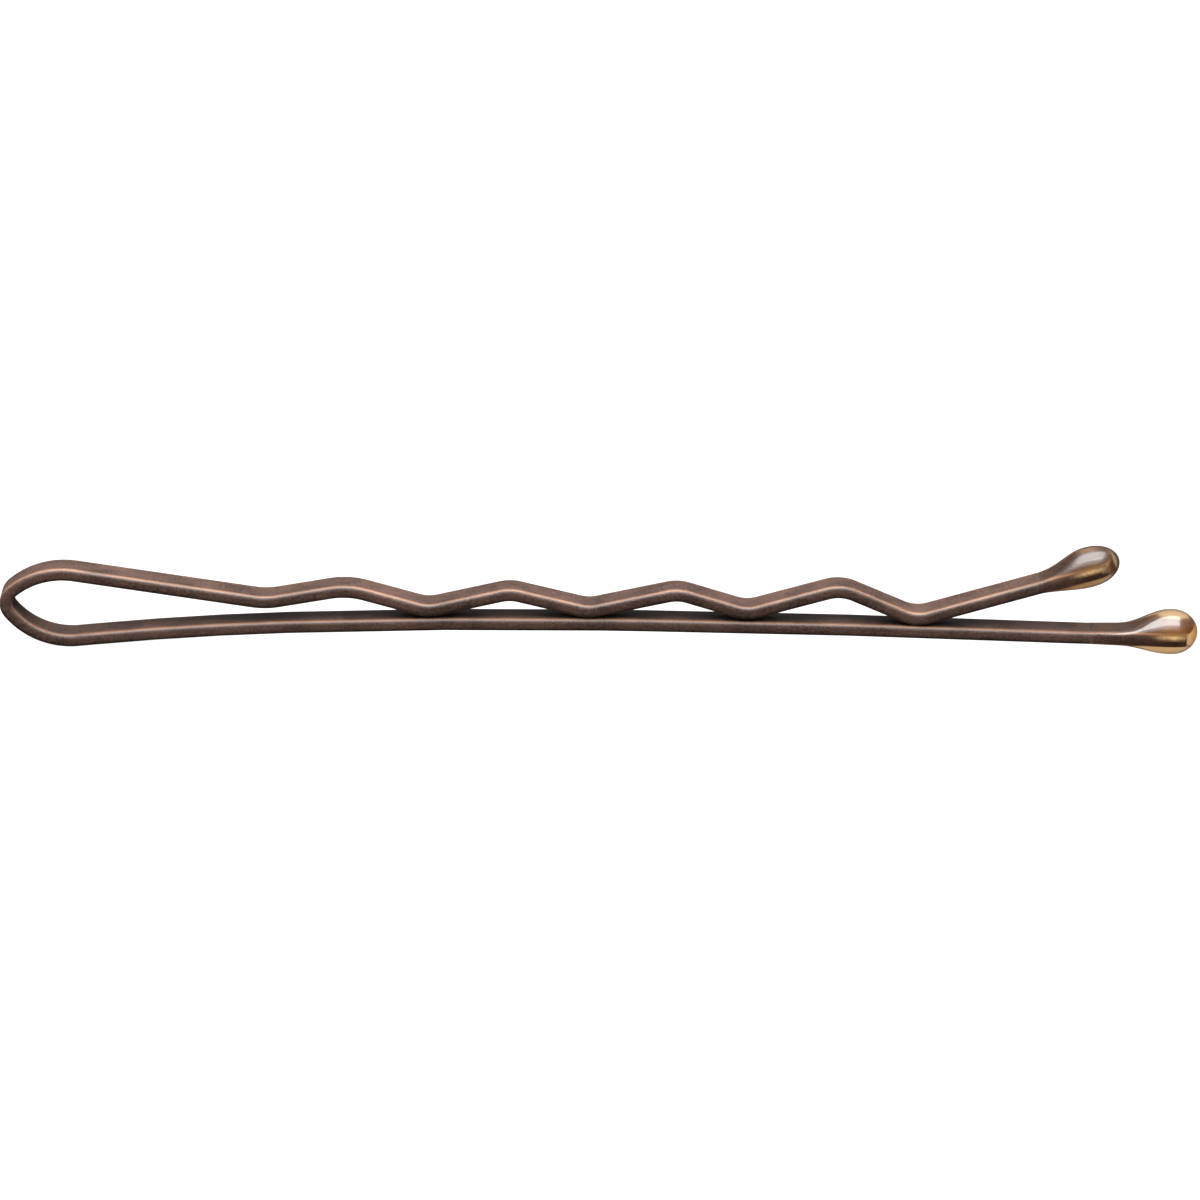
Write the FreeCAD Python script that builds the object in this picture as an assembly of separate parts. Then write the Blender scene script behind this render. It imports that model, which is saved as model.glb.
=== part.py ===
# Bobby pin: one flat spring wire bent into a drop-shaped loop, with a bowed lower leg, a waved
# upper leg that presses towards it, and a bead of resin dipped on each end.
# Frame: +X runs from the loop to the beads, +Y along the width of the wire, +Z from the lower leg
# to the upper leg. The loop and the lower bead stand on Z = 0; the length is centred on X = 0.
import FreeCAD
import Part
import math
import os

# Overall, in millimetres
LENGTH = 50.8  # nose of the loop to the end of the lower bead

# Wire
WIRE_WIDTH = 1.47
WIRE_THICKNESS = 0.55
WIRE_EDGE_CROWN = 0.16  # how far each rolled edge stands out from the flats

# Loop
LOOP_HEIGHT = 3.50  # outside, from shoulder to shoulder
LOWER_SHOULDER_REACH = 2.95  # nose to the lowest place
UPPER_SHOULDER_REACH = 2.70  # nose to the highest place
LOOP_NOSE_RADIUS = 0.95  # outside of the nose
LOOP_NOSE_HEIGHT = 1.90  # middle of the nose over the floor

# Lower leg: a long bow in three gentle bends and a last one that lifts the end a little, given by
# the corners of its straight tangents
LOWER_BOW_RISE = 0.98
LOWER_BOW_PLACE_SHARES = (0.108, 0.339, 0.705, 0.907)
LOWER_BOW_RISE_SHARES = (0.53, 1.0, 0.90, 0.584)
LOWER_BEND_LENGTH_SHARES = (0.38, 0.39, 0.90, 0.17)

# Upper leg: waves whose troughs come down to the lower leg
WAVE_START = 11.2  # nose to the first trough
WAVE_RISE = 1.03
WAVE_GAP = 0.035  # trough to the lower leg
WAVE_PLACE_SHARES = (0.0, 0.122, 0.251, 0.3755, 0.496, 0.630, 0.738, 0.877, 1.0)
WAVE_RISE_SHARES = (0.545, 0.90, 0.035, 0.685, 0.0, 0.75, 0.05, 1.055, 0.0)
WAVE_WIDE_BENDS = 2  # bends at the start that are wider than the others
WAVE_WIDE_BEND_SHARE = 0.1225  # bend radius over the length of the waves
WAVE_BEND_SHARE = 0.0613
UPPER_END_RUN = 7.28  # last trough to the middle of the upper ball
UPPER_TIP_SETBACK = 4.6  # middle of the upper ball to the end of the lower bead

# Beads of resin
RESIN_FILM = 0.03  # sleeve of resin round the wire
RESIN_END_COVER = 0.45  # resin in front of the wire's end
LOWER_BEAD_RADIUS = 0.955
LOWER_BEAD_NOSE_SHARE = 1.10  # length of the ball's end over its radius
LOWER_BEAD_FLARE = 2.3
LOWER_BEAD_SLEEVE = 1.25
LOWER_BEAD_LEAN = 0.165  # the ball sits higher than the wire inside it
UPPER_BEAD_RADIUS = 0.855
UPPER_BEAD_NOSE_SHARE = 1.46
UPPER_BEAD_FLARE = 1.95
UPPER_BEAD_SLEEVE = 0.25
UPPER_BEAD_LEAN = 0.125
UPPER_BEAD_HEIGHT = 3.72  # wire's middle at the upper ball over the floor
BEAD_STEP_SHARES = (0.0, 0.2, 0.4, 0.6, 0.8, 1.0)
BALL_FLAT_ANGLE = 20.0  # half of the part of the ball's outline that meets a flat of the wire

# Places that several sub-parts share
WIRE_HALF = WIRE_THICKNESS / 2
WIRE_FLAT_HALF = WIRE_WIDTH / 2 - WIRE_EDGE_CROWN
NOSE_BEND = LOOP_NOSE_RADIUS - WIRE_HALF
LOWER_SHOULDER_LEVEL = WIRE_HALF
UPPER_SHOULDER_LEVEL = LOOP_HEIGHT - WIRE_HALF
LOWER_BEAD_NOSE = LOWER_BEAD_RADIUS * LOWER_BEAD_NOSE_SHARE
UPPER_BEAD_NOSE = UPPER_BEAD_RADIUS * UPPER_BEAD_NOSE_SHARE
LOWER_BEAD_REACH = LENGTH - LOWER_BEAD_NOSE
UPPER_BEAD_REACH = LENGTH - UPPER_TIP_SETBACK
WAVE_LENGTH = UPPER_BEAD_REACH - UPPER_END_RUN - WAVE_START
ACROSS = FreeCAD.Vector(0, 1, 0)


def point(along, height):
    """A point of the pin's side view, with along measured from the nose."""
    return FreeCAD.Vector(along - LENGTH / 2, 0, height)


def heading(angle):
    """Direction in the side view, turned up by an angle in radians."""
    return FreeCAD.Vector(math.cos(angle), 0, math.sin(angle))


def normal(direction):
    """Direction in the side view that lies left of another."""
    return FreeCAD.Vector(-direction.z, 0, direction.x)


def angle_of(direction):
    """Angle of a direction in the side view, in radians."""
    return math.atan2(direction.z, direction.x)


def run(start, end):
    """Straight run of the wire's middle line."""
    return Part.makeLine(start, end)


def bend(centre, radius, start_angle, end_angle):
    """Bend of the wire's middle line between two headings; a negative radius turns right."""
    places = []
    for angle in (start_angle, (start_angle + end_angle) / 2, end_angle):
        places.append(centre - normal(heading(angle)) * radius)
    return Part.Arc(*places).toShape()


def tangent_angle(centre, radius, next_centre, next_radius):
    """Heading of the straight run from one bend to the next, with signed radii."""
    way = next_centre - centre
    return angle_of(way) - math.asin((next_radius - radius) / way.Length)


def nose_centre():
    """Centre of the nose's bend."""
    return point(LOOP_NOSE_RADIUS, LOOP_NOSE_HEIGHT)


def side_bend(shoulder, level):
    """Centre and radius of the long bend from the nose to a shoulder."""
    reach = shoulder - LOOP_NOSE_RADIUS
    rise = abs(level - LOOP_NOSE_HEIGHT)
    radius = (reach ** 2 + rise ** 2 - NOSE_BEND ** 2) / (rise - NOSE_BEND) / 2
    inward = math.copysign(radius, LOOP_NOSE_HEIGHT - level)
    return point(shoulder, level + inward), radius


def lower_side():
    """Centre and radius of the loop's lower side."""
    return side_bend(LOWER_SHOULDER_REACH, LOWER_SHOULDER_LEVEL)


def upper_side():
    """Centre and radius of the loop's upper side."""
    return side_bend(UPPER_SHOULDER_REACH, UPPER_SHOULDER_LEVEL)


def lower_corners():
    """Corners of the lower leg's tangents, then the wire's middle at the lower ball."""
    span = LOWER_BEAD_REACH - LOWER_SHOULDER_REACH
    corners = []
    for place, rise in zip(LOWER_BOW_PLACE_SHARES, LOWER_BOW_RISE_SHARES):
        height = LOWER_SHOULDER_LEVEL + rise * LOWER_BOW_RISE
        corners.append(point(LOWER_SHOULDER_REACH + place * span, height))
    corners.append(point(LOWER_BEAD_REACH, LOWER_BEAD_RADIUS - LOWER_BEAD_LEAN))
    return corners


def lower_start_angle():
    """Heading of the lower leg where it leaves the loop."""
    centre, radius = lower_side()
    return tangent_angle(centre, radius, lower_corners()[0], 0)


def lower_end_angle():
    """Heading of the lower leg in its bead."""
    corners = lower_corners()
    return angle_of(corners[-1] - corners[-2])


def lower_path():
    """Middle line of the lower leg, from the loop to the wire's end in the bead."""
    centre, radius = lower_side()
    corners = lower_corners()
    angle = lower_start_angle()
    place = centre - normal(heading(angle)) * radius
    edges = []
    for corner, after, share in zip(corners, corners[1:], LOWER_BEND_LENGTH_SHARES):
        next_angle = angle_of(after - corner)
        length = share * (after - corner).Length
        turn = length / math.tan((next_angle - angle) / 2)
        bend_start = corner - heading(angle) * length
        edges.append(run(place, bend_start))
        edges.append(bend(bend_start + normal(heading(angle)) * turn, turn, angle, next_angle))
        place = corner + heading(next_angle) * length
        angle = next_angle
    ball = corners[-1]
    end = ball + heading(angle) * (LOWER_BEAD_NOSE - RESIN_END_COVER)
    edges.append(run(place, end))
    return Part.Wire(edges)


def lower_height(path, along):
    """Height of the lower leg's middle line at a distance from the nose."""
    upright = Part.makeLine(point(along, 0), point(along, UPPER_SHOULDER_LEVEL))
    return path.distToShape(upright)[1][0][0].z


def wave_bends():
    """Centre and signed radius of each bend of the waves."""
    path = lower_path()
    bends = []
    for index, share in enumerate(WAVE_PLACE_SHARES):
        along = WAVE_START + share * WAVE_LENGTH
        trough = lower_height(path, along) + WIRE_THICKNESS + WAVE_GAP
        height = trough + WAVE_RISE_SHARES[index] * WAVE_RISE
        radius = WAVE_LENGTH * (WAVE_WIDE_BEND_SHARE if index < WAVE_WIDE_BENDS else WAVE_BEND_SHARE)
        turn = radius if index % 2 == 0 else -radius
        bends.append((point(along, height + turn), turn))
    return bends


def upper_bends():
    """Every bend that the upper leg runs past, from the loop's shoulder to the ball's middle."""
    centre, radius = upper_side()
    return [(centre, -radius)] + wave_bends() + [(point(UPPER_BEAD_REACH, UPPER_BEAD_HEIGHT), 0)]


def upper_angles():
    """Heading of each straight run of the upper leg."""
    bends = upper_bends()
    return [tangent_angle(*first, *second) for first, second in zip(bends, bends[1:])]


def upper_path():
    """Middle line of the upper leg, from the loop to the wire's end in the bead."""
    bends = upper_bends()
    angles = upper_angles()
    centre, turn = bends[0]
    place = centre - normal(heading(angles[0])) * turn
    edges = []
    for (centre, turn), angle, next_angle in zip(bends[1:], angles, angles[1:]):
        edges.append(run(place, centre - normal(heading(angle)) * turn))
        edges.append(bend(centre, turn, angle, next_angle))
        place = centre - normal(heading(next_angle)) * turn
    end = bends[-1][0] + heading(angles[-1]) * (UPPER_BEAD_NOSE - RESIN_END_COVER)
    edges.append(run(place, end))
    return Part.Wire(edges)


def loop_path():
    """Middle line of the loop, from the upper leg round the nose to the lower leg."""
    upper_centre, upper_radius = upper_side()
    lower_centre, lower_radius = lower_side()
    upper_join = angle_of(nose_centre() - upper_centre) + math.pi / 2
    lower_join = angle_of(nose_centre() - lower_centre) + math.pi / 2
    start = upper_angles()[0] + math.pi
    end = lower_start_angle() + 2 * math.pi
    lower_join = lower_join + 2 * math.pi if lower_join < upper_join else lower_join
    return Part.Wire([
        bend(upper_centre, upper_radius, start, upper_join),
        bend(nose_centre(), NOSE_BEND, upper_join, lower_join),
        bend(lower_centre, lower_radius, lower_join, end),
    ])


def section_arc(centre, along, radius, start, end):
    """Arc of a cross section, from one angle to another round a direction of the side view."""
    up = normal(along)
    places = []
    for angle in (start, (start + end) / 2, end):
        places.append(centre + (ACROSS * math.cos(angle) + up * math.sin(angle)) * radius)
    return Part.Arc(*places).toShape()


def flat_section(centre, along, half_flat, half_width, half_height):
    """Flat with rolled, round edges across a direction of the side view."""
    up = normal(along) * half_height
    flat = ACROSS * half_flat
    edge = ACROSS * half_width
    corners = (centre + up + flat, centre + up - flat, centre - up - flat, centre - up + flat)
    return Part.Wire([
        run(corners[0], corners[1]),
        Part.Arc(corners[1], centre - edge, corners[2]).toShape(),
        run(corners[2], corners[3]),
        Part.Arc(corners[3], centre + edge, corners[0]).toShape(),
    ])


def round_section(centre, along, radius):
    """Circle across a direction, split where the flats and edges of the wire meet it."""
    flat = math.radians(BALL_FLAT_ANGLE)
    edges = []
    for middle in (math.pi / 2, 3 * math.pi / 2):
        flat_end = middle + flat
        edges.append(section_arc(centre, along, radius, middle - flat, flat_end))
        edges.append(section_arc(centre, along, radius, flat_end, middle + math.pi - flat))
    return Part.Wire(edges)


def wire_along(path):
    """Flat wire with rounded edges swept along a middle line."""
    start = path.Edges[0]
    along = start.tangentAt(start.FirstParameter)
    centre = start.valueAt(start.FirstParameter)
    section = flat_section(centre, along, WIRE_FLAT_HALF, WIRE_WIDTH / 2, WIRE_HALF)
    sweep = Part.BRepOffsetAPI.MakePipeShell(path)
    sweep.setBiNormalMode(ACROSS)
    sweep.add(section)
    sweep.build()
    sweep.makeSolid()
    return sweep.shape()


def ball_end(crown, along, radius, nose):
    """Rounded end of a ball, longer than its radius."""
    side = crown + normal(along) * radius
    tip = crown + along * nose
    outline = Part.Arc(Part.Ellipse(tip, side, crown), 0, math.pi / 2).toShape()
    return Part.Face(Part.Wire([outline, run(side, crown), run(crown, tip)])).revolve(crown, along)


def bead(ball, angle, radius, nose, flare, sleeve, lean):
    """Resin sleeve that flares from the flat wire to a round ball."""
    along = heading(angle)
    up = normal(along)
    half_width = WIRE_WIDTH / 2 + RESIN_FILM
    half_height = WIRE_HALF + RESIN_FILM
    half_cap = radius * math.sin(math.radians(BALL_FLAT_ANGLE))
    neck = ball - along * flare
    sections = []
    for share in BEAD_STEP_SHARES[:-1]:
        swell = share ** 2 * (3 - 2 * share)
        centre = neck + along * flare * share + up * lean * swell
        width = half_width + (radius - half_width) * swell
        height = half_height + (radius - half_height) * swell
        flat = WIRE_FLAT_HALF + (half_cap - WIRE_FLAT_HALF) * swell
        sections.append(flat_section(centre, along, flat, width, height))
    crown = ball + up * lean
    sections.append(round_section(crown, along, radius))
    flared = Part.makeLoft(sections, True, False)
    cuff = Part.Face(sections[0]).extrude(along * -sleeve)
    return cuff.fuse([flared, ball_end(crown, along, radius, nose)]).removeSplitter()


def seated(resin, wire):
    """Bead with the seat of its wire cut out."""
    return resin.cut(wire).Solids[0]


def lower_leg():
    """Lower leg, bowed towards the upper leg."""
    return wire_along(lower_path())


def upper_leg():
    """Upper leg, waved along its grip."""
    return wire_along(upper_path())


def spring_loop():
    """Drop-shaped loop that joins the legs."""
    return wire_along(loop_path())


def lower_tip():
    """Bead on the lower leg."""
    ball = lower_corners()[-1]
    sizes = (LOWER_BEAD_RADIUS, LOWER_BEAD_NOSE, LOWER_BEAD_FLARE, LOWER_BEAD_SLEEVE, LOWER_BEAD_LEAN)
    return seated(bead(ball, lower_end_angle(), *sizes), lower_leg())


def upper_tip():
    """Bead on the upper leg."""
    ball = upper_bends()[-1][0]
    sizes = (UPPER_BEAD_RADIUS, UPPER_BEAD_NOSE, UPPER_BEAD_FLARE, UPPER_BEAD_SLEEVE, UPPER_BEAD_LEAN)
    return seated(bead(ball, upper_angles()[-1], *sizes), upper_leg())


os.makedirs("parts", exist_ok=True)
for build in (lower_leg, spring_loop, upper_leg, lower_tip, upper_tip):
    build().exportStep("parts/" + build.__name__ + ".step")
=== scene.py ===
"""Looks of a bobby pin: a flat enamelled spring wire with a drop-shaped loop, and two amber resin tips."""

import cmath
import logging
import math
from dataclasses import dataclass, field
from enum import Enum
from functools import partial
from typing import Any, Iterable, Sequence

import bmesh
import bpy
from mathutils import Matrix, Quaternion, Vector


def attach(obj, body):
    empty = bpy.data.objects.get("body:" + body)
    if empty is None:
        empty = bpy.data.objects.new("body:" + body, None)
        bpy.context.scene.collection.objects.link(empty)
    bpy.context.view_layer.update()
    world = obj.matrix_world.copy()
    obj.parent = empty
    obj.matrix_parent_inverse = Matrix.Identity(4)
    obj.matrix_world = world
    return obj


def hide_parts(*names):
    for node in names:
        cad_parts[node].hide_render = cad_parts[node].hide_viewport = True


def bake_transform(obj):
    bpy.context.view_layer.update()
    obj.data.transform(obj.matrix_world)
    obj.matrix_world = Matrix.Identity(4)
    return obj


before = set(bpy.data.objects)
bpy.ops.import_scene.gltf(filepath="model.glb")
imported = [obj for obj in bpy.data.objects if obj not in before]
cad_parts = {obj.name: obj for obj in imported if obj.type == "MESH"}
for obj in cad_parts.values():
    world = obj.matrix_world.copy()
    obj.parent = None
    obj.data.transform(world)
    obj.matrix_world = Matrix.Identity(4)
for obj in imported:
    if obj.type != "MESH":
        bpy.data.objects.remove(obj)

Colour = tuple[float, float, float, float]
Triple = tuple[float, float, float]
Stops = tuple[tuple[float, float], ...]

MM = 0.001
SAME_PLACE = 1e-7  # metres within which points count as one
SHORTEST_RUN = 1e-5  # millimetres under which a straight run is left out
SENSOR_WIDTH = 36.0  # millimetres, of the usual full frame
LOG = logging.getLogger("bobby_pin")


class Body(Enum):
    """Rigid bodies of the pin that a piece can ride on."""

    LOWER = "lower"
    UPPER = "upper"


class Slot(Enum):
    """Material slots of the record."""

    WIRE = "enamelled_spring_steel"
    RESIN = "amber_resin"


def linear(code: str) -> Colour:
    """Turns an sRGB hex colour into linear light.

    Args:
        code: Six hex digits, such as "3a241c".

    Returns:
        Linear red, green and blue, and an alpha of 1.
    """
    values = [int(code[i:i + 2], 16) / 255 for i in (0, 2, 4)]
    lit = [v / 12.92 if v <= 0.04045 else ((v + 0.055) / 1.055) ** 2.4 for v in values]
    return (lit[0], lit[1], lit[2], 1.0)


def grey(level: float) -> Colour:
    """Linear grey of a level, opaque."""
    return (level, level, level, 1.0)


def per_mm(size: float) -> float:
    """Texture scale that gives a feature of a size in millimetres."""
    return 1.0 / (size * MM)


def add_node(
    tree: bpy.types.NodeTree, kind: str, inputs: dict[Any, Any] | None = None, **settings: Any,
) -> bpy.types.Node:
    """Adds a node with its settings and links.

    Args:
        tree: Node tree that gets the node.
        kind: Blender's name of the node.
        inputs: Socket name or number to a value, or to the socket that feeds it.
        **settings: Properties of the node itself.

    Returns:
        The new node.
    """
    made = tree.nodes.new(kind)
    for name, value in settings.items():
        setattr(made, name, value)
    for key, value in (inputs or {}).items():
        if isinstance(value, bpy.types.NodeSocket):
            tree.links.new(value, made.inputs[key])
        else:
            made.inputs[key].default_value = value
    return made


def set_ramp(made: bpy.types.Node, stops: Sequence[tuple[float, Colour]]) -> None:
    """Sets the stops of a colour ramp.

    Args:
        made: Colour ramp node.
        stops: Place and linear colour of each stop, in order.
    """
    elements = made.color_ramp.elements
    while len(elements) < len(stops):
        elements.new(1.0)
    for element, (place, colour) in zip(elements, stops):
        element.position = place
        element.color = colour


def bare_material(name: str) -> bpy.types.Material:
    """Makes a material with an empty node tree.

    Args:
        name: Name of the material.

    Returns:
        The new material.
    """
    made = bpy.data.materials.new(name)
    made.use_nodes = True
    made.node_tree.nodes.clear()
    return made


def deselect_all() -> None:
    """Goes back to object mode and deselects every object."""
    if bpy.context.object is not None and bpy.context.object.mode != "OBJECT":
        bpy.ops.object.mode_set(mode="OBJECT")
    bpy.ops.object.select_all(action="DESELECT")


def only(piece: bpy.types.Object) -> None:
    """Makes one object the only selected and active one."""
    deselect_all()
    piece.select_set(True)
    bpy.context.view_layer.objects.active = piece


def select_rings(piece: bpy.types.Object, places: Iterable[float]) -> None:
    """Selects the open rings of a piece in edit mode that lie at places along X.

    Args:
        piece: Object in edit mode.
        places: Places along the object's X, in metres.
    """
    wanted = list(places)
    bpy.ops.mesh.select_mode(type="EDGE")
    bpy.ops.mesh.select_all(action="DESELECT")
    mesh = bmesh.from_edit_mesh(piece.data)
    for edge in mesh.edges:
        on_ring = any(all(abs(v.co.x - place) < SAME_PLACE for v in edge.verts) for place in wanted)
        edge.select_set(on_ring and edge.is_boundary)
    bmesh.update_edit_mesh(piece.data)


def close_and_finish(piece: bpy.types.Object, smooth_angle: float) -> None:
    """Fills the open ends of a piece, points its faces outwards and smooths its shading.

    Args:
        piece: Object to finish.
        smooth_angle: Edges flatter than this, in degrees, are shaded smooth.
    """
    only(piece)
    bpy.ops.object.mode_set(mode="EDIT")
    bpy.ops.mesh.select_all(action="SELECT")
    bpy.ops.mesh.remove_doubles(threshold=SAME_PLACE)
    bpy.ops.mesh.select_all(action="SELECT")
    bpy.ops.mesh.fill_holes(sides=0)
    bpy.ops.mesh.select_all(action="SELECT")
    bpy.ops.mesh.normals_make_consistent(inside=False)
    bpy.ops.object.mode_set(mode="OBJECT")
    bpy.ops.object.shade_smooth_by_angle(angle=math.radians(smooth_angle))


@dataclass(frozen=True)
class Dip:
    """Wire end under resin: where along X, in millimetres, the film begins and the ball's middle is."""

    film: float
    ball: float


@dataclass(frozen=True)
class BrownEnamel:
    """Satin brown stoving enamel on rolled spring steel.

    The eye sees a dark brown paint with a soft sheen. It draws thin over the rolled edges, where a
    warmer, coppery tone shows, and it has a fine grain from the dipping and baking. Under the resin it
    looks wet and darker, with painted shade on its sides and painted light on its upper face. Inside
    the ball a painted highlight runs along the upper edge, between painted shade on the side and
    painted light on the upper face.
    """

    deep: str = "2a1c15"  # paint in the pits of the grain
    light: str = "594239"  # paint on the high spots
    copper: str = "a47b60"  # paint drawn thin over the edges
    soaked: str = "33231b"  # sides under the film of resin: wet paint, darker, and painted shade
    damp_and_lit: str = "5e4636"  # upper face under the film: wet paint, painted lighter as painted light and reflection
    shade: str = "33200f"  # painted shade on the sides inside the ball
    painted_gleam: str = "d2b78c"  # painted highlight along the upper edge inside the ball, where the ball gathers light
    amber: str = "7c623c"  # upper face inside the ball, painted light
    ior: float = 1.52
    roughness: tuple[float, float] = (0.40, 0.54)  # from the pits to the high spots
    sheen: float = 0.28  # how much the steel under the thin edges shines through
    grain_mm: float = 0.09  # real grit is near 0.03 mm; drawn coarser so that it shows
    streak_mm: float = 0.16  # rolling lines along the strip
    streak_squeeze: Triple = (0.05, 1.0, 1.0)  # a line is twenty times as long as it is wide
    mottle_mm: float = 1.6
    speck_mm: float = 0.14
    grit_span: tuple[float, float] = (0.35, 0.65)  # part of the noise that the grain uses
    paint_span: tuple[float, float] = (0.4, 1.0)  # tones of the deep and the light paint
    bump_strength: float = 0.2
    bump_mm: float = 0.02
    edge_stops: Stops = ((0.03, 0.0), (0.2, 1.0), (0.5, 1.0), (0.78, 0.0))  # wear over the turn sideways
    soak_span: tuple[float, float] = (-0.12, 0.25)  # millimetres from the film's start
    ball_lead: float = 1.1  # millimetres before the ball's middle where the gleam begins
    fade_run: float = 0.6  # millimetres after it where the gleam has faded
    fade_left: float = 0.3
    speck_span: tuple[float, float] = (0.3, 0.6)
    speck_least: float = 0.5
    neck_span: tuple[float, float] = (0.5, 0.8)  # from sideways to upwards: painted shade to painted light
    seen_through: float = 0.5  # how much of the dry paint shows under the film
    gleam_places: tuple[float, ...] = (0.49, 0.56, 0.7, 0.9)  # painted shade, two of painted highlight, painted light on the upper face
    end_span: tuple[float, float] = (0.6, 0.9)  # how far a face looks along X to count as the cut end
    specular: float = 0.5  # in air; none under resin

    def material(self, name: str, dip: Dip | None = None, end: str = "") -> bpy.types.Material:
        """Builds the enamel's node material.

        Args:
            name: Name of the material.
            dip: Resin on the piece's end, or none.
            end: Colour that the cut end shows through the resin.

        Returns:
            The new material.
        """
        made = bare_material(name)
        node = partial(add_node, made.node_tree)
        place = node("ShaderNodeTexCoord").outputs["Object"]
        squeezed = node("ShaderNodeMapping", {"Vector": place, "Scale": self.streak_squeeze}).outputs[0]
        grain = node("ShaderNodeTexNoise", {"Vector": place, "Scale": per_mm(self.grain_mm), "Detail": 3.0})
        streak = node("ShaderNodeTexNoise", {"Vector": squeezed, "Scale": per_mm(self.streak_mm)})
        mottle = node("ShaderNodeTexNoise", {"Vector": place, "Scale": per_mm(self.mottle_mm), "Detail": 4.0})
        low, high = self.grit_span
        grit = node("ShaderNodeMapRange", {0: grain.outputs["Fac"], 1: low, 2: high})
        tone = node("ShaderNodeMath", {0: grit.outputs[0], 1: streak.outputs["Fac"]}, operation="MULTIPLY")
        tone = node("ShaderNodeMath", {0: tone.outputs[0], 1: mottle.outputs["Fac"]}, operation="ADD")
        paint = node("ShaderNodeValToRGB", {"Fac": tone.outputs[0]})
        set_ramp(paint, list(zip(self.paint_span, (linear(self.deep), linear(self.light)))))
        normal = node("ShaderNodeNewGeometry").outputs["Normal"]
        facing = node("ShaderNodeSeparateXYZ", {0: normal})
        sideways = node("ShaderNodeMath", {0: facing.outputs["Y"]}, operation="ABSOLUTE")
        worn = node("ShaderNodeValToRGB", {"Fac": sideways.outputs[0]})
        set_ramp(worn, [(stop, grey(level)) for stop, level in self.edge_stops])
        wear = {0: worn.outputs["Color"], 1: mottle.outputs["Fac"]}
        thin = node("ShaderNodeMath", wear, operation="MULTIPLY")
        tints = {0: thin.outputs[0], 6: paint.outputs["Color"], 7: linear(self.copper)}
        colour = node("ShaderNodeMix", tints, data_type="RGBA")
        shine = node("ShaderNodeMath", {0: thin.outputs[0], 1: 2 * self.sheen}, operation="MULTIPLY")
        least, most = self.roughness
        rough = node("ShaderNodeMapRange", {0: grain.outputs["Fac"], 3: least, 4: most})
        relief = {"Height": tone.outputs[0], "Strength": self.bump_strength, "Distance": self.bump_mm * MM}
        shader = node("ShaderNodeBsdfPrincipled", {
            "Base Color": colour.outputs[2], "Metallic": shine.outputs[0], "Roughness": rough.outputs[0],
            "Normal": node("ShaderNodeBump", relief).outputs[0], "IOR": self.ior,
        })
        if dip is not None:
            along = node("ShaderNodeSeparateXYZ", {0: place}).outputs["X"]
            soaked = self.soaked_share(made.node_tree, along, dip)
            gleam = self.gleam_share(made.node_tree, place, along, dip)
            wet = self.wet_colour(made.node_tree, colour.outputs[2], thin.outputs[0], facing, gleam, end)
            self.soak(made.node_tree, shader, soaked, wet)
        node("ShaderNodeOutputMaterial", {"Surface": shader.outputs[0]})
        return made

    def soaked_share(
        self, tree: bpy.types.NodeTree, along: bpy.types.NodeSocket, dip: Dip,
    ) -> bpy.types.NodeSocket:
        """Works out where the paint lies under resin.

        Args:
            tree: Node tree of the enamel.
            along: Place along X.
            dip: Resin on the piece's end.

        Returns:
            Share from 0, dry, to 1, under resin.
        """
        first, last = [(dip.film + shift) * MM for shift in self.soak_span]
        limits = {0: along, 1: first, 2: last}
        return add_node(tree, "ShaderNodeMapRange", limits, interpolation_type="SMOOTHSTEP").outputs[0]

    def gleam_share(
        self, tree: bpy.types.NodeTree, place: bpy.types.NodeSocket, along: bpy.types.NodeSocket, dip: Dip,
    ) -> bpy.types.NodeSocket:
        """Works out the painted highlight where the ball gathers light on the wire, broken up by small
        specks.

        Args:
            tree: Node tree of the enamel.
            place: Object coordinates.
            along: Place along X.
            dip: Resin on the piece's end.

        Returns:
            Share from 0, none, to 1, full painted highlight.
        """
        node = partial(add_node, tree)
        middle = dip.ball * MM
        rise_limits = {0: along, 1: (dip.ball - self.ball_lead) * MM, 2: middle}
        fade_limits = {0: along, 1: middle, 2: (dip.ball + self.fade_run) * MM, 3: 1.0, 4: self.fade_left}
        rise = node("ShaderNodeMapRange", rise_limits, interpolation_type="SMOOTHSTEP")
        fade = node("ShaderNodeMapRange", fade_limits, interpolation_type="SMOOTHSTEP")
        noise = node("ShaderNodeTexNoise", {"Vector": place, "Scale": per_mm(self.speck_mm), "Detail": 2.0})
        low, high = self.speck_span
        speck = node("ShaderNodeMapRange", {0: noise.outputs["Fac"], 1: low, 2: high, 3: self.speck_least})
        lit = node("ShaderNodeMath", {0: rise.outputs[0], 1: fade.outputs[0]}, operation="MULTIPLY")
        lit = node("ShaderNodeMath", {0: lit.outputs[0], 1: speck.outputs[0]}, operation="MULTIPLY")
        return lit.outputs[0]

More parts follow.
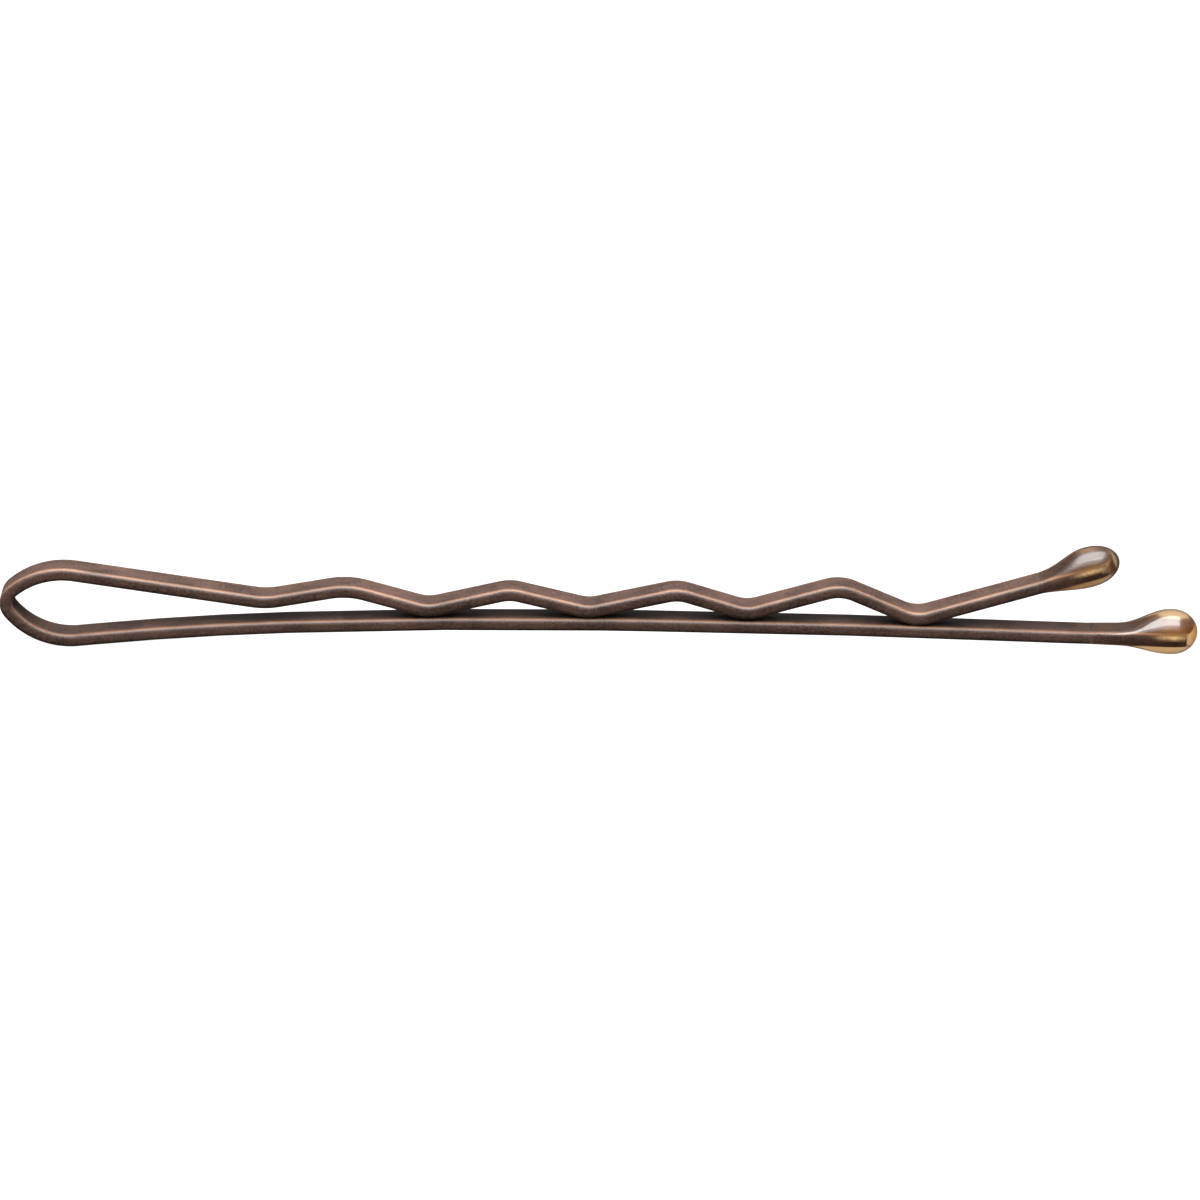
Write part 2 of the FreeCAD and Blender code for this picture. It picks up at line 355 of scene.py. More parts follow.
    def wet_colour(
        self, tree: bpy.types.NodeTree, dry: bpy.types.NodeSocket, thin: bpy.types.NodeSocket,
        facing: bpy.types.Node, gleam: bpy.types.NodeSocket, end: str,
    ) -> bpy.types.NodeSocket:
        """Mixes the colour of the paint under resin, with painted light and shade.

        Args:
            tree: Node tree of the enamel.
            dry: Colour of the paint in air.
            thin: How far the paint is worn over the edges.
            facing: Surface normal, parted into its components.
            gleam: Where the painted highlight lies.
            end: Colour of the cut end.

        Returns:
            Colour under resin, with its painted light and shade.
        """
        node = partial(add_node, tree)
        upward = node("ShaderNodeMapRange", {0: facing.outputs["Z"], 1: -1.0, 2: 1.0}).outputs[0]
        # under the film: painted shade on the sides and underside, painted light on the upper face
        film = node("ShaderNodeValToRGB", {"Fac": upward})
        set_ramp(film, list(zip(self.neck_span, (linear(self.soaked), linear(self.damp_and_lit)))))
        under_film = {0: self.seen_through, 6: film.outputs["Color"], 7: dry}
        neck = node("ShaderNodeMix", under_film, data_type="RGBA")
        neck = node("ShaderNodeMix", {0: thin, 6: neck.outputs[2], 7: linear(self.copper)}, data_type="RGBA")
        # inside the ball: painted shade below, a painted highlight along the upper edge, painted light on top
        drop = node("ShaderNodeValToRGB", {"Fac": upward})
        gleam_colours = [linear(code) for code in (self.shade, self.painted_gleam, self.painted_gleam, self.amber)]
        set_ramp(drop, list(zip(self.gleam_places, gleam_colours)))
        in_ball = {0: gleam, 6: neck.outputs[2], 7: drop.outputs["Color"]}
        inner = node("ShaderNodeMix", in_ball, data_type="RGBA")
        least, most = self.end_span
        limits = {0: facing.outputs["X"], 1: least, 2: most}
        endwise = node("ShaderNodeMapRange", limits, interpolation_type="SMOOTHSTEP").outputs[0]
        at_end = {0: endwise, 6: inner.outputs[2], 7: linear(end)}
        return node("ShaderNodeMix", at_end, data_type="RGBA").outputs[2]

    def soak(
        self, tree: bpy.types.NodeTree, shader: bpy.types.Node, soaked: bpy.types.NodeSocket,
        wet: bpy.types.NodeSocket,
    ) -> None:
        """Gives the shader its wet colour, with painted light and shade, under the resin, where it has no
        shine of its own.

        Args:
            tree: Node tree of the enamel.
            shader: Its shader, already fed with the dry look.
            soaked: Where the paint lies under resin.
            wet: Colour under resin, with painted light and shade.
        """
        node = partial(add_node, tree)
        dry = shader.inputs["Base Color"].links[0].from_socket
        bright = shader.inputs["Metallic"].links[0].from_socket
        colour = node("ShaderNodeMix", {0: soaked, 6: dry, 7: wet}, data_type="RGBA")
        left = node("ShaderNodeMath", {0: 1.0, 1: soaked}, operation="SUBTRACT").outputs[0]
        shine = node("ShaderNodeMath", {0: bright, 1: left}, operation="MULTIPLY")
        gloss = node("ShaderNodeMath", {0: left, 1: self.specular}, operation="MULTIPLY")
        tree.links.new(colour.outputs[2], shader.inputs["Base Color"])
        tree.links.new(shine.outputs[0], shader.inputs["Metallic"])
        tree.links.new(gloss.outputs[0], shader.inputs["Specular IOR Level"])


@dataclass(frozen=True)
class AmberResin:
    """Clear amber dip resin, hardened in air.

    The eye sees a glossy honey-coloured drop with the dark end of the wire bent by it, and a duller
    film where the drop thins out along the wire.
    """

    skin: str = "ffffff"  # the colour is all in the depth
    honey: str = "e4c273"
    density: float = 1300.0  # of the honey colour, for each metre of depth
    ior: float = 1.36  # under the usual 1.5 of resin, as matched to the photograph
    roughness: float = 0.17
    film_roughness: float = 0.24
    coat: float = 1.0
    coat_roughness: float = 0.3
    coat_ior: float = 1.6
    haze: float = 0.06  # faint bloom of the hardened skin
    haze_roughness: float = 0.3
    swirl_mm: float = 0.9
    swirl_span: tuple[float, float] = (-0.02, 0.03)  # added to the roughness
    drop_lead: float = 1.5  # millimetres before the ball's middle where the film has become a drop

    def material(self, name: str, dip: Dip) -> bpy.types.Material:
        """Builds the resin's node material.

        Args:
            name: Name of the material.
            dip: Where the film begins and the ball's middle is.

        Returns:
            The new material.
        """
        made = bare_material(name)
        node = partial(add_node, made.node_tree)
        place = node("ShaderNodeTexCoord").outputs["Object"]
        along = node("ShaderNodeSeparateXYZ", {0: place}).outputs["X"]
        limits = {0: along, 1: dip.film * MM, 2: (dip.ball - self.drop_lead) * MM}
        thick = node("ShaderNodeMapRange", limits, interpolation_type="SMOOTHSTEP").outputs[0]
        even = node("ShaderNodeMapRange", {0: thick, 3: self.film_roughness, 4: self.roughness})
        swirl = node("ShaderNodeTexNoise", {"Vector": place, "Scale": per_mm(self.swirl_mm), "Detail": 2.0})
        least, most = self.swirl_span
        wavy = node("ShaderNodeMapRange", {0: swirl.outputs["Fac"], 3: least, 4: most})
        rough = node("ShaderNodeMath", {0: even.outputs[0], 1: wavy.outputs[0]}, operation="ADD")
        coat = node("ShaderNodeMath", {0: thick, 1: self.coat}, operation="MULTIPLY")
        shader = node("ShaderNodeBsdfPrincipled", {
            "Base Color": linear(self.skin), "Roughness": rough.outputs[0], "IOR": self.ior,
            "Transmission Weight": 1.0, "Coat Weight": coat.outputs[0],
            "Coat Roughness": self.coat_roughness, "Coat IOR": self.coat_ior,
            "Sheen Weight": self.haze, "Sheen Roughness": self.haze_roughness,
        })
        depth = node("ShaderNodeVolumeAbsorption", {"Color": linear(self.honey), "Density": self.density})
        node("ShaderNodeOutputMaterial", {"Surface": shader.outputs[0], "Volume": depth.outputs[0]})
        return made


@dataclass(frozen=True)
class WhitePaper:
    """Matt white paper, lit evenly from behind.

    The eye sees pure white with no shadow and no grain.
    """

    tint: str = "5f5f5f"  # grey, so that the lamps add little to its own light
    glow: float = 1.02
    light: str = "ffffff"
    roughness: float = 0.9
    specular: float = 0.1

    def material(self) -> bpy.types.Material:
        """Builds the paper's node material.

        Returns:
            The new material.
        """
        made = bare_material("matt_white_paper")
        node = partial(add_node, made.node_tree)
        shader = node("ShaderNodeBsdfPrincipled", {
            "Base Color": linear(self.tint), "Roughness": self.roughness,
            "Specular IOR Level": self.specular,
            "Emission Color": linear(self.light), "Emission Strength": self.glow,
        })
        node("ShaderNodeOutputMaterial", {"Surface": shader.outputs[0]})
        return made


@dataclass(frozen=True)
class Bend:
    """Bend of the wire's middle line in the side view, in millimetres.

    The side view's points are complex numbers, X and Z of the frame. A positive radius turns left.
    """

    centre: complex
    radius: float = 0.0


@dataclass(frozen=True)
class Stretch:
    """One straight run or one bend of the middle line, in millimetres and radians."""

    start: complex
    end: complex
    heading: float
    centre: complex | None = None
    turn: float = 0.0


def in_frame(place: complex) -> Vector:
    """Point or way of the side view in the frame, in metres."""
    return Vector((place.real, 0.0, place.imag)) * MM


def left_of(heading: float) -> complex:
    """Direction in the side view that lies left of a heading."""
    return 1j * cmath.rect(1.0, heading)


def run_heading(first: Bend, second: Bend) -> float:
    """Heading of the straight run from one bend to the next.

    Args:
        first: Bend that the run leaves.
        second: Bend that it comes to.

    Returns:
        Angle from +X towards +Z, in radians.
    """
    way = second.centre - first.centre
    share = (second.radius - first.radius) / abs(way)
    return cmath.phase(way) - math.asin(max(-1.0, min(1.0, share)))


def stretches(bends: Sequence[Bend]) -> list[Stretch]:
    """Runs and bends of the wire between the first and the last of some bends.

    Args:
        bends: Bends in order; the first and last only set where the outer runs begin and end.

    Returns:
        The stretches in order, without runs of no length.
    """
    headings = [run_heading(a, b) for a, b in zip(bends, bends[1:])]
    found: list[Stretch] = []
    for index, heading in enumerate(headings):
        first, second = bends[index], bends[index + 1]
        start = first.centre - left_of(heading) * first.radius
        end = second.centre - left_of(heading) * second.radius
        if abs(end - start) > SHORTEST_RUN:
            found.append(Stretch(start, end, heading))
        if index + 1 < len(headings):
            turn = math.remainder(headings[index + 1] - heading, 2 * math.pi)
            after = second.centre - left_of(heading + turn) * second.radius
            found.append(Stretch(end, after, heading, second.centre, turn))
    return found


def height_at(part: Stretch, along: float) -> float:
    """Height of a stretch at a place along X.

    Args:
        part: Run or bend that passes the place from left to right.
        along: Place along X, in millimetres.

    Returns:
        Height over the floor, in millimetres.
    """
    if part.centre is None:
        share = (along - part.start.real) / (part.end.real - part.start.real)
        return part.start.imag + share * (part.end.imag - part.start.imag)
    radius = abs(part.start - part.centre)
    drop = math.sqrt(radius ** 2 - (along - part.centre.real) ** 2)
    return part.centre.imag - math.copysign(drop, part.turn)


@dataclass(frozen=True)
class WireSection:
    """Flat rolled wire: broad faces with soft, crowned edges, in millimetres."""

    width: float = 1.47
    thickness: float = 0.55
    edge: float = 0.27
    edge_steps: int = 8
    squareness: float = 0.66

    def ring(self, name: str, at: Vector, heading: float, film: float = 0.0) -> bpy.types.Object:
        """Starts a piece as an open ring of the section, left selected in edit mode.

        Args:
            name: Name of the new object.
            at: Middle of the ring, in metres.
            heading: Way the wire leaves the ring, in radians.
            film: Thickness of a coat round the wire, in millimetres.

        Returns:
            The new object.
        """
        deselect_all()
        upright = (0.0, math.pi / 2 - heading, 0.0)
        bpy.ops.mesh.primitive_plane_add(size=1.0, location=at, rotation=upright)
        piece = bpy.context.object
        piece.name = name
        piece.data.name = name
        piece.scale = ((self.thickness + 2 * film) * MM, (self.width + 2 * film) * MM, 1.0)
        bpy.ops.object.transform_apply(location=True, rotation=True, scale=True)
        bpy.ops.object.mode_set(mode="EDIT")
        bpy.ops.mesh.select_all(action="SELECT")
        bpy.ops.mesh.bevel(
            affect="VERTICES", offset_type="OFFSET", offset=(self.edge + film) * MM,
            segments=self.edge_steps, profile=self.squareness,
        )
        bpy.ops.mesh.select_all(action="SELECT")
        bpy.ops.mesh.delete(type="ONLY_FACE")
        bpy.ops.mesh.select_mode(type="EDGE")
        bpy.ops.mesh.select_all(action="SELECT")
        return piece


@dataclass(frozen=True)
class BeadShape:
    """Sizes of a resin bead and of the wire's end inside it, in millimetres along the wire."""

    radius: float
    nose_share: float  # length of the ball's end over its radius
    flare: float  # from the flat sleeve to the ball's middle
    sleeve: float
    lean: float  # the ball sits higher than the wire inside it
    wire_reach: float  # full-width wire past the ball's middle
    tongue: float  # rounded end of the wire after that

    def dip(self, ball: complex) -> Dip:
        """Where along X the bead's film begins and its ball is."""
        return Dip(ball.real - self.flare - self.sleeve, ball.real)


@dataclass(frozen=True)
class WireRoute:
    """Middle line of the bent wire in the side view, from the same sizes as the CAD, in millimetres.

    Reaches are measured from the nose of the loop, heights from the floor.
    """

    section: WireSection
    lower_bead: BeadShape
    upper_bead: BeadShape
    length: float = 50.8
    loop_height: float = 3.5  # outside, from shoulder to shoulder
    lower_shoulder: float = 2.95  # reach of the lowest place
    upper_shoulder: float = 2.7  # reach of the highest place
    nose_radius: float = 0.95  # outside
    nose_height: float = 1.9
    bow_rise: float = 0.98
    bow_place_shares: tuple[float, ...] = (0.108, 0.339, 0.705, 0.907)
    bow_rise_shares: tuple[float, ...] = (0.53, 1.0, 0.9, 0.584)
    bow_length_shares: tuple[float, ...] = (0.38, 0.39, 0.9, 0.17)
    wave_start: float = 11.2  # reach of the first trough
    wave_rise: float = 1.03
    wave_gap: float = 0.035  # lowest troughs to the lower leg
    wave_place_shares: tuple[float, ...] = (0.0, 0.122, 0.251, 0.3755, 0.496, 0.63, 0.738, 0.877, 1.0)
    wave_rise_shares: tuple[float, ...] = (0.545, 0.9, 0.035, 0.685, 0.0, 0.75, 0.05, 1.055, 0.0)
    wide_bends: int = 2  # bends at the start of the waves that are wider than the others
    wide_bend_share: float = 0.1225  # bend radius over the length of the waves
    wave_bend_share: float = 0.0613
    upper_end_run: float = 7.28  # last trough to the middle of the upper ball
    upper_setback: float = 4.6  # middle of the upper ball to the end of the lower bead
    upper_ball_height: float = 3.72

    def at(self, reach: float, height: float) -> complex:
        """Point of the side view in the frame, whose X begins at the middle of the length."""
        return complex(reach - self.length / 2, height)

    @property
    def lower_ball(self) -> complex:
        """Wire's middle at the lower ball, which stands on the floor."""
        bead = self.lower_bead
        return self.at(self.length - bead.radius * bead.nose_share, bead.radius - bead.lean)

    @property
    def upper_ball(self) -> complex:
        """Wire's middle at the upper ball."""
        return self.at(self.length - self.upper_setback, self.upper_ball_height)

    @property
    def nose(self) -> Bend:
        """Tight bend at the loop's nose, turning left towards the lower leg."""
        middle = self.at(self.nose_radius, self.nose_height)
        return Bend(middle, self.nose_radius - self.section.thickness / 2)

    def side(self, shoulder: float, level: float) -> Bend:
        """Long bend of the loop between its nose and a shoulder, turning left towards the lower leg.

        Args:
            shoulder: Reach of the shoulder.
            level: Height of the wire's middle there.

        Returns:
            The bend, which touches the nose's bend.
        """
        tight = self.nose.radius
        reach = shoulder - self.nose_radius
        rise = abs(level - self.nose_height)
        radius = (reach ** 2 + rise ** 2 - tight ** 2) / (rise - tight) / 2
        return Bend(self.at(shoulder, level + math.copysign(radius, self.nose_height - level)), radius)

    @property
    def lower_side(self) -> Bend:
        """Loop's long lower bend, turning left towards the lower leg."""
        return self.side(self.lower_shoulder, self.section.thickness / 2)

    @property
    def upper_side(self) -> Bend:
        """Loop's long upper bend, turning left towards the lower leg."""
        return self.side(self.upper_shoulder, self.loop_height - self.section.thickness / 2)

    def lower_corners(self) -> list[complex]:
        """Places where the lower leg's straight runs would cross.

        Returns:
            The corners from the loop to the bead, then the wire's middle at the lower ball.
        """
        first = self.at(self.lower_shoulder, self.section.thickness / 2)
        span = self.lower_ball.real - first.real
        shares = zip(self.bow_place_shares, self.bow_rise_shares)
        corners = [first + complex(place * span, rise * self.bow_rise) for place, rise in shares]
        return [*corners, self.lower_ball]

    def bows(self) -> list[Bend]:
        """Rounds the lower leg's corners.

        Returns:
            Gentle bends from the loop to the bead.
        """
        corners = self.lower_corners()
        heading = run_heading(self.lower_side, Bend(corners[0]))
        found: list[Bend] = []
        for corner, after, share in zip(corners, corners[1:], self.bow_length_shares):
            turned = cmath.phase(after - corner)
            length = share * abs(after - corner)
            radius = length / math.tan((turned - heading) / 2)
            found.append(Bend(corner - cmath.rect(length, heading) + left_of(heading) * radius, radius))
            heading = turned
        return found

    def waves(self) -> list[Bend]:
        """Lays the upper leg's waves over the lower leg, whose height they follow.

        Returns:
            Troughs and crests by turns, from the loop to the bead.
        """
        lower = stretches([self.lower_side, *self.bows(), Bend(self.lower_ball)])
        start = self.at(self.wave_start, 0.0).real
        span = self.upper_ball.real - self.upper_end_run - start
        lift = self.section.thickness + self.wave_gap
        found: list[Bend] = []
        for index, share in enumerate(self.wave_place_shares):
            along = start + share * span
            under = next(part for part in lower if part.start.real <= along <= part.end.real)
            height = height_at(under, along) + lift + self.wave_rise_shares[index] * self.wave_rise
            radius = span * (self.wide_bend_share if index < self.wide_bends else self.wave_bend_share)
            turn = radius if index % 2 == 0 else -radius
            found.append(Bend(complex(along, height + turn), turn))
        return found

    def lower_heading(self) -> float:
        """Heading of the wire's last run in the lower bead, in radians."""
        corners = self.lower_corners()
        return cmath.phase(corners[-1] - corners[-2])

    def upper_heading(self) -> float:
        """Heading of the wire's last run in the upper bead, in radians."""
        return run_heading(self.waves()[-1], Bend(self.upper_ball))

    def legs_and_loop(self) -> tuple[list[Stretch], list[Stretch], list[Stretch]]:
        """Parts the wire's middle line at the loop's shoulders.

        Returns:
            Stretches of the lower leg from its end, of the loop, and of the upper leg to its end.
        """
        loop = (self.lower_side, self.nose, self.upper_side)
        back = [Bend(bow.centre, -bow.radius) for bow in reversed(self.bows())]
        round_nose = [Bend(bend.centre, -bend.radius) for bend in loop]
        lower_end = self.lower_ball + cmath.rect(self.lower_bead.wire_reach, self.lower_heading())
        upper_end = self.upper_ball + cmath.rect(self.upper_bead.wire_reach, self.upper_heading())
        path = stretches([Bend(lower_end), *back, *round_nose, *self.waves(), Bend(upper_end)])
        turns = [index for index, part in enumerate(path) if part.centre is not None]
        first = turns[len(back)]
        last = turns[len(back) + len(round_nose) - 1]
        return path[:first], path[first:last + 1], path[last + 1:]


@dataclass
class SpringWire:
    """The one bent wire, parted at the loop's shoulders."""

    finish: BrownEnamel
    route: WireRoute
    turn_step: float = 1.5  # degrees of a bend for each ring of faces
    smooth_angle: float = 40.0  # degrees
    tongue_shares: tuple[float, ...] = (0.3, 0.55, 0.75, 0.88, 0.95)  # rings of the rounded end
    blend_inset: float = 0.1  # millimetres in from the wire's faces, for two points at the loop's shoulders
    lower_end_gleam: str = "d2b78c"  # cut end in the clear bead, painted light in the painted highlight's colour
    upper_end_tint: str = "5e4632"  # cut end in the brown bead
    pieces: list[bpy.types.Object] = field(default_factory=list)

    def build(self) -> None:
        """Builds the lower leg, the loop and the upper leg, and dresses them."""
        route = self.route
        lower_path, loop_path, upper_path = route.legs_and_loop()
        lower = self.sweep("lower_leg_wire", lower_path)
        loop = self.sweep("loop_wire", loop_path)
        upper = self.sweep("upper_leg_wire", upper_path)
        self.round_end(lower, lower_path[0].start - lower_path[0].end, route.lower_bead.tongue)
        self.round_end(upper, upper_path[-1].end - upper_path[-1].start, route.upper_bead.tongue)
        lower_dip = route.lower_bead.dip(route.lower_ball)
        upper_dip = route.upper_bead.dip(route.upper_ball)
        paints = (
            self.finish.material("brown_enamel_lower_leg", lower_dip, self.lower_end_gleam),
            self.finish.material("brown_enamel_loop"),
            self.finish.material("brown_enamel_upper_leg", upper_dip, self.upper_end_tint),
        )
        for piece, paint in zip((lower, loop, upper), paints):
            piece.data.materials.clear()
            piece.data.materials.append(paint)
        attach(lower, Body.LOWER.value)
        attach(upper, Body.UPPER.value)
        thickness = route.section.thickness
        shoulder = route.lower_side.centre.real
        foot = in_frame(complex(shoulder, thickness + self.blend_inset))
        head = in_frame(complex(shoulder, loop_path[-1].end.imag - thickness / 2 - self.blend_inset))
        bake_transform(loop)
        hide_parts("lower_leg")
        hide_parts("spring_loop")
        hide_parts("upper_leg")
        self.pieces = [lower, loop, upper]

    def sweep(self, name: str, path: Sequence[Stretch]) -> bpy.types.Object:
        """Extrudes the section along runs and spins it round bends.

        Args:
            name: Name of the new object.
            path: Stretches of the middle line, in order.

        Returns:
            The finished, closed piece.
        """
        piece = self.route.section.ring(name, in_frame(path[0].start), path[0].heading)
        for part in path:
            if part.centre is None:
                move = in_frame(part.end - part.start)
                bpy.ops.mesh.extrude_region_move(TRANSFORM_OT_translate={"value": move})
            else:
                steps = max(1, math.ceil(abs(math.degrees(part.turn)) / self.turn_step))
                centre = in_frame(part.centre)
                bpy.ops.mesh.spin(steps=steps, angle=part.turn, center=centre, axis=(0.0, 1.0, 0.0))
        close_and_finish(piece, self.smooth_angle)
        return piece

    def round_end(self, piece: bpy.types.Object, run: complex, length: float) -> None:
        """Draws the wire's end out to a rounded tongue, which stays inside the ball.

        Args:
            piece: Leg whose end lies furthest along X.
            run: Way of the leg's last run, out of its end.
            length: Length of the tongue, in millimetres.
        """
        only(piece)
        bpy.ops.object.mode_set(mode="EDIT")
        bpy.ops.mesh.select_mode(type="FACE")
        bpy.ops.mesh.select_all(action="DESELECT")
        mesh = bmesh.from_edit_mesh(piece.data)
        max(mesh.faces, key=lambda face: face.calc_center_median().x).select_set(True)
        bmesh.update_edit_mesh(piece.data)
        tongue = run / abs(run) * length
        done, wide = 0.0, 1.0
        for share in self.tongue_shares:
            narrow = math.sqrt(1.0 - share ** 2)
            move = in_frame(tongue * (share - done))
            bpy.ops.mesh.extrude_region_move(TRANSFORM_OT_translate={"value": move})
            bpy.ops.transform.resize(value=(1.0, narrow / wide, 1.0), center_override=(0.0, 0.0, 0.0))
            done, wide = share, narrow
        close_and_finish(piece, self.smooth_angle)


@dataclass
class ResinTip:
    """Bead of resin dipped on a wire end: a thin film that flares to a ball."""

    name: str
    body: Body
    node: str
    finish: bpy.types.Material
    shape: BeadShape
    ball: complex  # wire's middle at the ball
    heading: float
    section: WireSection
    films: Stops = ((0.0, 0.002), (0.3, 0.01), (0.6, 0.018), (1.0, 0.03))  # thickness along the sleeve
    rings: int = 24
    flare_rings: int = 18
    smooth_angle: float = 60.0  # degrees
    piece: bpy.types.Object | None = None

    def build(self) -> None:
        """Builds the bead along X, then turns it to its wire."""
        shape = self.shape
        start = Vector((-(shape.flare + shape.sleeve) * MM, 0.0, 0.0))
        piece = self.section.ring(self.name, start, 0.0, self.films[0][1])
        self.draw_sleeve(start)
        points = bmesh.from_edit_mesh(piece.data).verts
        around = sum(1 for v in points if abs(v.co.x - start.x) < SAME_PLACE)
        self.add_ball(around)
        select_rings(piece, (-shape.flare * MM, 0.0))
        bpy.ops.mesh.bridge_edge_loops(
            type="SINGLE", number_cuts=self.flare_rings, interpolation="SURFACE", smoothness=1.0,
        )
        self.finish_piece(piece)
        self.piece = piece

    def draw_sleeve(self, start: Vector) -> None:
        """Draws the thickening film along the wire, ring by ring.

        Args:
            start: Middle of the first ring, in metres.
        """
        width, thickness = self.section.width, self.section.thickness
        for (share, film), (after, thicker) in zip(self.films, self.films[1:]):
            move = ((after - share) * self.shape.sleeve * MM, 0.0, 0.0)
            bpy.ops.mesh.extrude_region_move(TRANSFORM_OT_translate={"value": move})
            wider = (width + 2 * thicker) / (width + 2 * film)
            higher = (thickness + 2 * thicker) / (thickness + 2 * film)
            bpy.ops.transform.resize(value=(1.0, wider, higher), center_override=start)

    def add_ball(self, around: int) -> None:
        """Adds the end of the ball, half of a drawn-out sphere.

        Args:
            around: Number of points round the sleeve, which the ball takes up.
        """
        bpy.ops.mesh.select_all(action="DESELECT")
        crown = Vector((0.0, 0.0, self.shape.lean * MM))
        bpy.ops.mesh.primitive_uv_sphere_add(
            segments=around, ring_count=self.rings, radius=self.shape.radius * MM,
            location=crown, rotation=(0.0, math.pi / 2, 0.0),
        )
        bpy.ops.transform.resize(value=(self.shape.nose_share, 1.0, 1.0), center_override=crown)
        bpy.ops.mesh.bisect(plane_co=crown, plane_no=(1.0, 0.0, 0.0), clear_inner=True)

    def finish_piece(self, piece: bpy.types.Object) -> None:
        """Turns the bead to its wire, closes it and dresses it.

        Args:
            piece: Bead built along X, in edit mode.
        """
        bpy.ops.object.mode_set(mode="OBJECT")
        piece.location = in_frame(self.ball)
        piece.rotation_euler = (0.0, -self.heading, 0.0)
        only(piece)
        bpy.ops.object.transform_apply(location=True, rotation=True, scale=True)
        close_and_finish(piece, self.smooth_angle)
        piece.data.materials.clear()
        piece.data.materials.append(self.finish)
        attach(piece, self.body.value)
        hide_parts(self.node)


@dataclass(frozen=True)
class Softbox:
    """Soft rectangular light that faces the pin, in metres and watts."""

    name: str
    place: Triple
    size: tuple[float, float]
    power: float

    def hang(self) -> None:
        """Hangs the light, unseen by the camera itself."""
        lamp = bpy.data.lights.new(self.name, "AREA")
        lamp.shape = "RECTANGLE"
        lamp.size, lamp.size_y = self.size
        lamp.energy = self.power
        made = bpy.data.objects.new(self.name, lamp)
        made.location = self.place
        made.rotation_euler = (-Vector(self.place)).to_track_quat("-Z", "Y").to_euler()
        made.visible_camera = False
        bpy.context.scene.collection.objects.link(made)


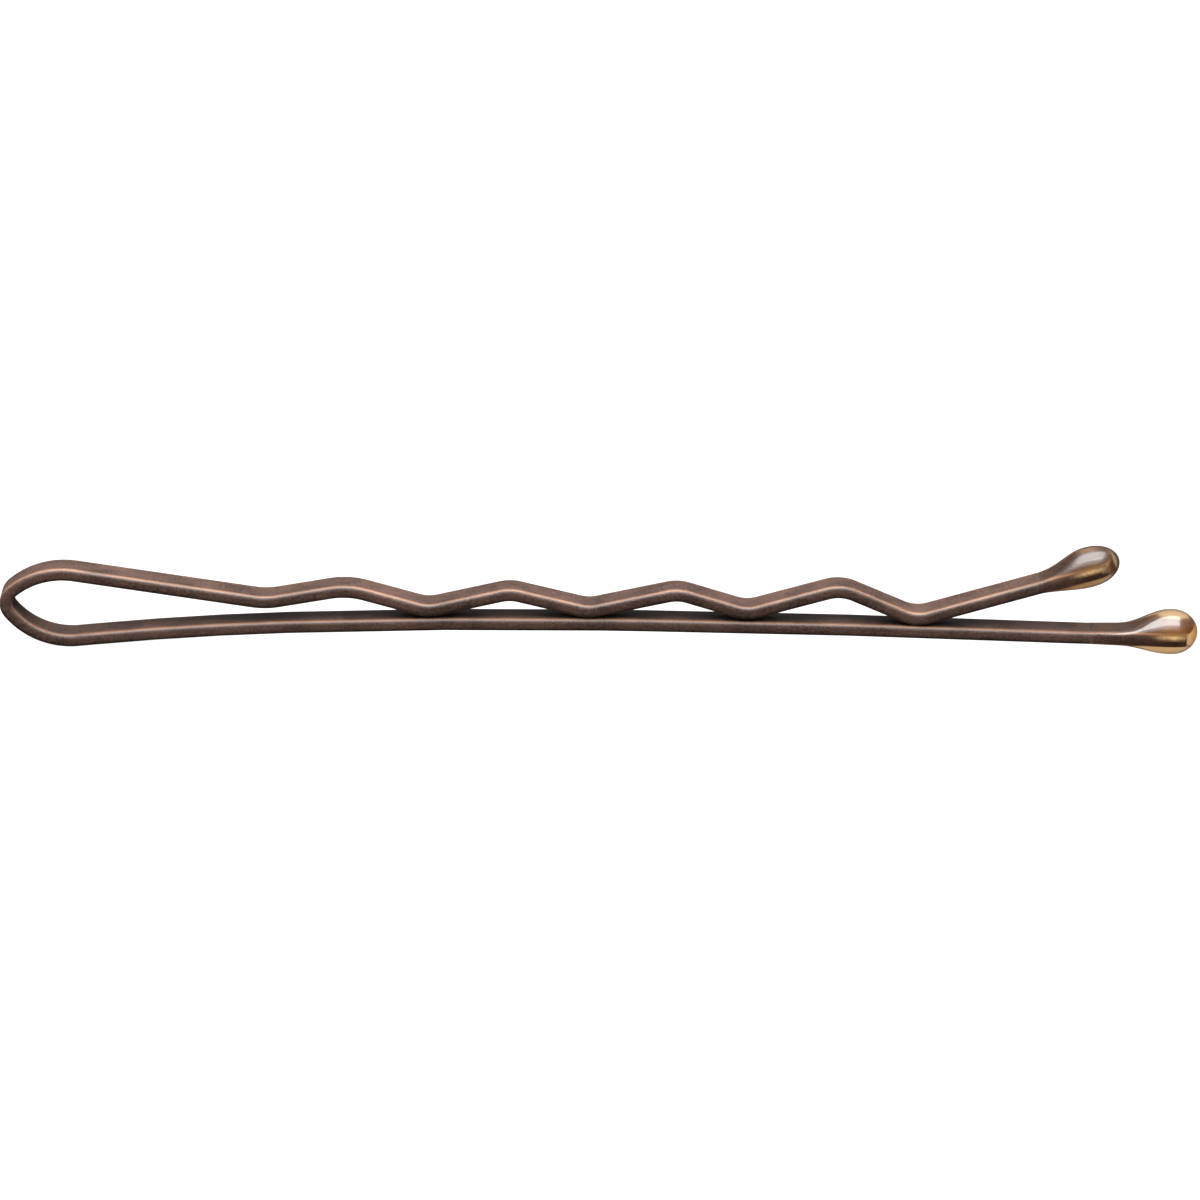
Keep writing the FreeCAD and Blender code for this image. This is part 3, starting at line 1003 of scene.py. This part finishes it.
@dataclass
class Studio:
    """Backlit paper, a dim room with a bright ceiling, soft lights and the camera."""

    finish: WhitePaper = WhitePaper()
    floor_size: float = 3.0  # metres
    wall_height: float = 2.0  # metres
    room: Stops = (  # grey of the room, from straight down to straight up
        (0.0, 0.04), (0.25, 0.05), (0.45, 0.08), (0.55, 0.08), (0.67, 0.06), (0.75, 0.4), (1.0, 0.6),
    )
    lights: tuple[Softbox, ...] = (
        Softbox("overhead_softbox", (0.0, -0.085, 0.45), (0.5, 0.46), 6.3),
        Softbox("front_fill", (0.0, -0.34, 0.38), (0.5, 0.3), 1.5),
    )
    elevation: float = 19.6  # degrees that the camera looks down
    roll: float = 0.566  # degrees
    target: Triple = (0.02, 0.0, 2.118)  # millimetres, at the middle of the picture
    frame_width: float = 50.88  # millimetres across the picture
    lens: float = 180.0
    clip: tuple[float, float] = (0.01, 10.0)

    def build(self) -> None:
        """Lays the paper, lights the room and sets the camera."""
        self.lay_paper()
        self.light_room()
        for light in self.lights:
            light.hang()
        self.set_camera()

    def lay_paper(self) -> None:
        """Lays the glowing paper under the pin and turns it up into a wall all round.

        It is seen directly and through the resin, and neither lights nor shades the pin.
        """
        deselect_all()
        bpy.ops.mesh.primitive_plane_add(size=self.floor_size, location=(0.0, 0.0, 0.0))
        paper = bpy.context.object
        paper.name = "paper_cove"
        bpy.ops.object.mode_set(mode="EDIT")
        bpy.ops.mesh.select_mode(type="EDGE")
        bpy.ops.mesh.select_all(action="SELECT")
        bpy.ops.mesh.extrude_edges_move(TRANSFORM_OT_translate={"value": (0.0, 0.0, self.wall_height)})
        bpy.ops.object.mode_set(mode="OBJECT")
        paper.data.materials.append(self.finish.material())
        paper.visible_glossy = False
        paper.visible_diffuse = False
        paper.visible_shadow = False

    def light_room(self) -> None:
        """Lights the room: dim from the floor to eye level, bright overhead."""
        world = bpy.data.worlds.new("studio_room")
        bpy.context.scene.world = world
        world.use_nodes = True
        world.node_tree.nodes.clear()
        node = partial(add_node, world.node_tree)
        way = node("ShaderNodeTexCoord").outputs["Generated"]
        rise = node("ShaderNodeSeparateXYZ", {0: way}).outputs["Z"]
        upward = node("ShaderNodeMapRange", {0: rise, 1: -1.0, 2: 1.0})
        tone = node("ShaderNodeValToRGB", {"Fac": upward.outputs[0]})
        set_ramp(tone, [(place, grey(level)) for place, level in self.room])
        light = node("ShaderNodeBackground", {"Color": tone.outputs["Color"], "Strength": 1.0})
        node("ShaderNodeOutputWorld", {"Surface": light.outputs[0]})

    def set_camera(self) -> None:
        """Sets the camera at the photograph's angle, far off with a long lens."""
        lens = bpy.data.cameras.new("photo_camera")
        lens.lens = self.lens
        lens.sensor_width = SENSOR_WIDTH
        lens.clip_start, lens.clip_end = self.clip
        view = bpy.data.objects.new("photo_camera", lens)
        rise = math.radians(self.elevation)
        back = Vector((0.0, -math.cos(rise), math.sin(rise)))
        distance = self.frame_width * MM * self.lens / SENSOR_WIDTH
        view.location = Vector(self.target) * MM + back * distance
        tilt = Quaternion((0.0, 0.0, 1.0), math.radians(self.roll))
        view.rotation_mode = "QUATERNION"
        view.rotation_quaternion = (-back).to_track_quat("-Z", "Y") @ tilt
        bpy.context.scene.collection.objects.link(view)
        bpy.context.scene.camera = view
        bpy.context.scene.view_settings.view_transform = "Standard"


def make_tips(route: WireRoute) -> tuple[ResinTip, ResinTip]:
    """Readies the two beads, the upper one of browner and duller resin.

    Args:
        route: Route of the wire that carries them.

    Returns:
        The lower and the upper bead, not yet built.
    """
    lower, upper = route.lower_bead, route.upper_bead
    clear = AmberResin().material("clear_amber_resin", lower.dip(route.lower_ball))
    browner = AmberResin(honey="d7bc89", density=2400.0, roughness=0.24, coat=0.7, coat_roughness=0.34)
    brown = browner.material("brown_amber_resin", upper.dip(route.upper_ball))
    return (
        ResinTip(
            "lower_resin_tip", Body.LOWER, "lower_tip", clear, lower,
            route.lower_ball, route.lower_heading(), route.section,
        ),
        ResinTip(
            "upper_resin_tip", Body.UPPER, "upper_tip", brown, upper,
            route.upper_ball, route.upper_heading(), route.section,
        ),
    )


def main() -> None:
    """Builds the pin's pieces and the studio in order."""
    logging.basicConfig(level=logging.INFO, format="%(message)s")
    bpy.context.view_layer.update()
    route = WireRoute(
        section=WireSection(),
        lower_bead=BeadShape(
            radius=0.955, nose_share=1.1, flare=2.3, sleeve=1.25, lean=0.165, wire_reach=0.45, tongue=0.26,
        ),
        upper_bead=BeadShape(
            radius=0.855, nose_share=1.46, flare=1.95, sleeve=0.25, lean=0.125, wire_reach=0.4, tongue=0.45,
        ),
    )
    wire = SpringWire(BrownEnamel(), route)
    wire.build()
    for piece in wire.pieces:
        LOG.info("%s: %d faces", piece.name, len(piece.data.polygons))
    for tip in make_tips(route):
        tip.build()
        LOG.info("%s: %d faces", tip.name, len(tip.piece.data.polygons))
    Studio().build()


if __name__ == "__main__":
    main()
